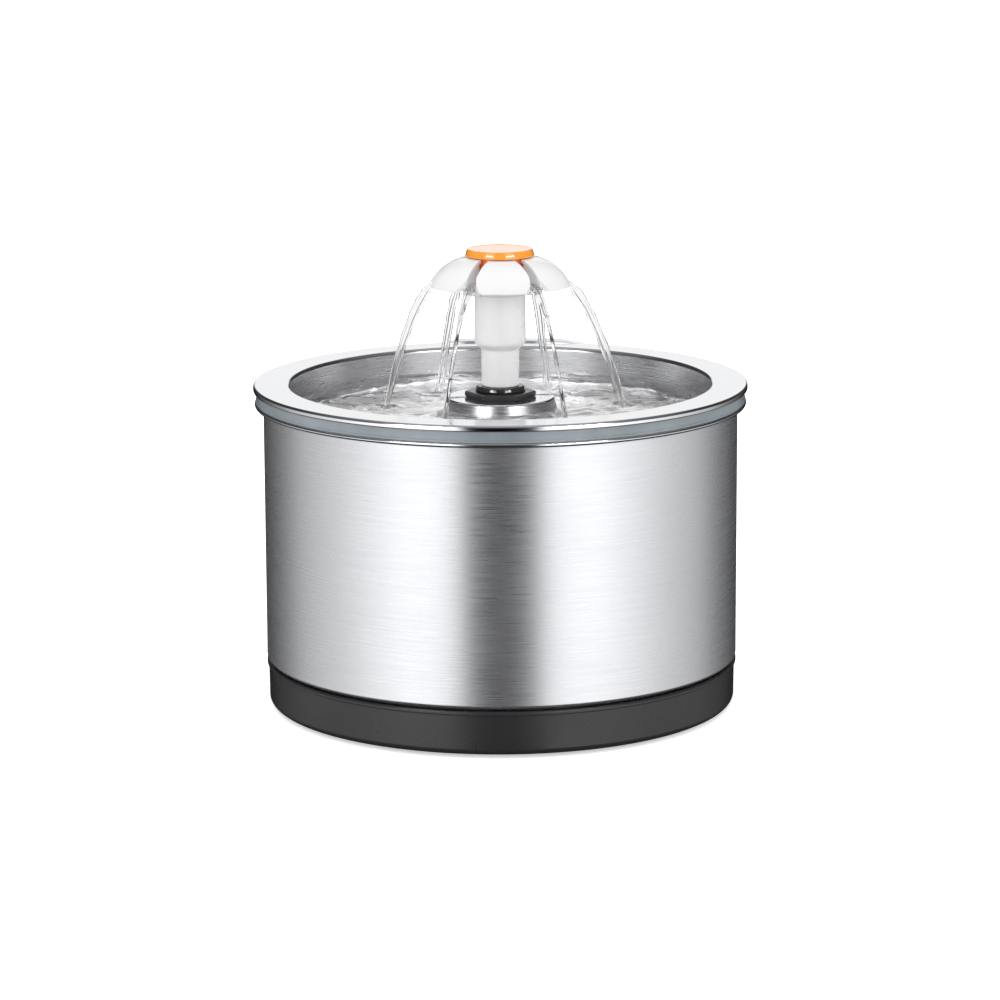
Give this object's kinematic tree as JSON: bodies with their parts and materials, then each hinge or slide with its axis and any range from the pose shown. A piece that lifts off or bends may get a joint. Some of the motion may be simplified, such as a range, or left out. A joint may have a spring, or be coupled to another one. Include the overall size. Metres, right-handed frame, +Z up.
{
  "type": "pet water fountain",
  "caption": "Round steel pet water fountain: a tank in a black base, a drinking tray on a seal, and a white flower spout with an orange centre, fed by a pump and filter under the tray.",
  "frame": {"origin": "centre of the footprint, on the surface the feet stand on", "axes": "+Z up along the tank's axis; -Y is the front, where the intake of the pump faces; +X to the right seen from the front"},
  "size_m": [0.188, 0.188, 0.175],
  "materials": {
    "steel_tank": "brushed round the wall",
    "steel_tray": "drawn, bright, satin in the basin",
    "base_black": "satin, moulded",
    "foot_rubber": "matt",
    "seal_silicone": "grey blue, satin",
    "grommet_rubber": "matt",
    "nut_black": "satin",
    "collar_rubber": "semi gloss",
    "washer_silicone": "translucent white",
    "spigot_black": "satin",
    "riser_black": "satin",
    "basket_plastic": "satin, milky",
    "lid_plastic": "satin, milky",
    "pouch_fabric": "non-woven",
    "carbon": "granular",
    "resin": "granular",
    "pump_black": "satin",
    "laminations": "varnished",
    "coil_copper": "enamelled winding",
    "impeller_plastic": "satin",
    "magnet": "sintered",
    "shaft_ceramic": "ground",
    "bush_rubber": "matt",
    "cup_rubber": "translucent grey",
    "foam_black": "open-cell foam",
    "stem_white": "gloss",
    "petal_white": "gloss",
    "centre_orange": "gloss"
  },
  "bodies": {
    "tank_body": {"base_ring": "base_black", "rubber_feet": "foot_rubber", "tank": "steel_tank", "seal_ring": "seal_silicone", "cord_grommet": "grommet_rubber"},
    "tray_body": {"drinking_tray": "steel_tray", "lock_nut": "nut_black", "rubber_collar": "collar_rubber", "boss_washer": "washer_silicone", "threaded_spigot": "spigot_black", "riser_pipe": "riser_black", "filter_basket": "basket_plastic", "filter_lid": "lid_plastic", "filter_pouch": "pouch_fabric", "carbon_bed": "carbon", "resin_bed": "resin", "pump_housing": "pump_black", "pump_back_plate": "pump_black", "stator_core": "laminations", "stator_coil": "coil_copper", "rotor_shaft": "shaft_ceramic", "rear_bush": "bush_rubber", "suction_cups": "cup_rubber"},
    "spout_body": {"spout_stem": "stem_white", "flower_head": "petal_white"},
    "centre_body": {"flower_centre": "centre_orange"},
    "rotor_body": {"impeller": "impeller_plastic", "rotor_magnet": "magnet"},
    "cover_body": {"impeller_cover": "pump_black", "front_bush": "bush_rubber"},
    "cage_body": {"intake_cage": "pump_black", "intake_foam": "foam_black"},
    "slider_body": {"flow_slider": "impeller_plastic"}
  },
  "joints": [
    {"name": "tray_lift", "type": "slide", "parent": "tank_body", "child": "tray_body", "axis": [0, 0, 1], "range_m": [0, 0.12]},
    {"name": "spout_lift", "type": "slide", "parent": "tray_body", "child": "spout_body", "axis": [0, 0, 1], "range_m": [0, 0.03]},
    {"name": "centre_lift", "type": "slide", "parent": "spout_body", "child": "centre_body", "axis": [0, 0, 1], "range_m": [0, 0.015]},
    {"name": "rotor_spin", "type": "hinge", "parent": "tray_body", "child": "rotor_body", "pos_m": [-0.008, 0, 0.034], "axis": [0, 1, 0], "continuous": true},
    {"name": "cover_pull", "type": "slide", "parent": "tray_body", "child": "cover_body", "axis": [0, -1, 0], "range_m": [0, 0.02]},
    {"name": "cage_pull", "type": "slide", "parent": "cover_body", "child": "cage_body", "axis": [0, -1, 0], "range_m": [0, 0.018]},
    {"name": "slider_shift", "type": "slide", "parent": "cage_body", "child": "slider_body", "axis": [1, 0, 0], "range_m": [0, 0.0024]}
  ]
}
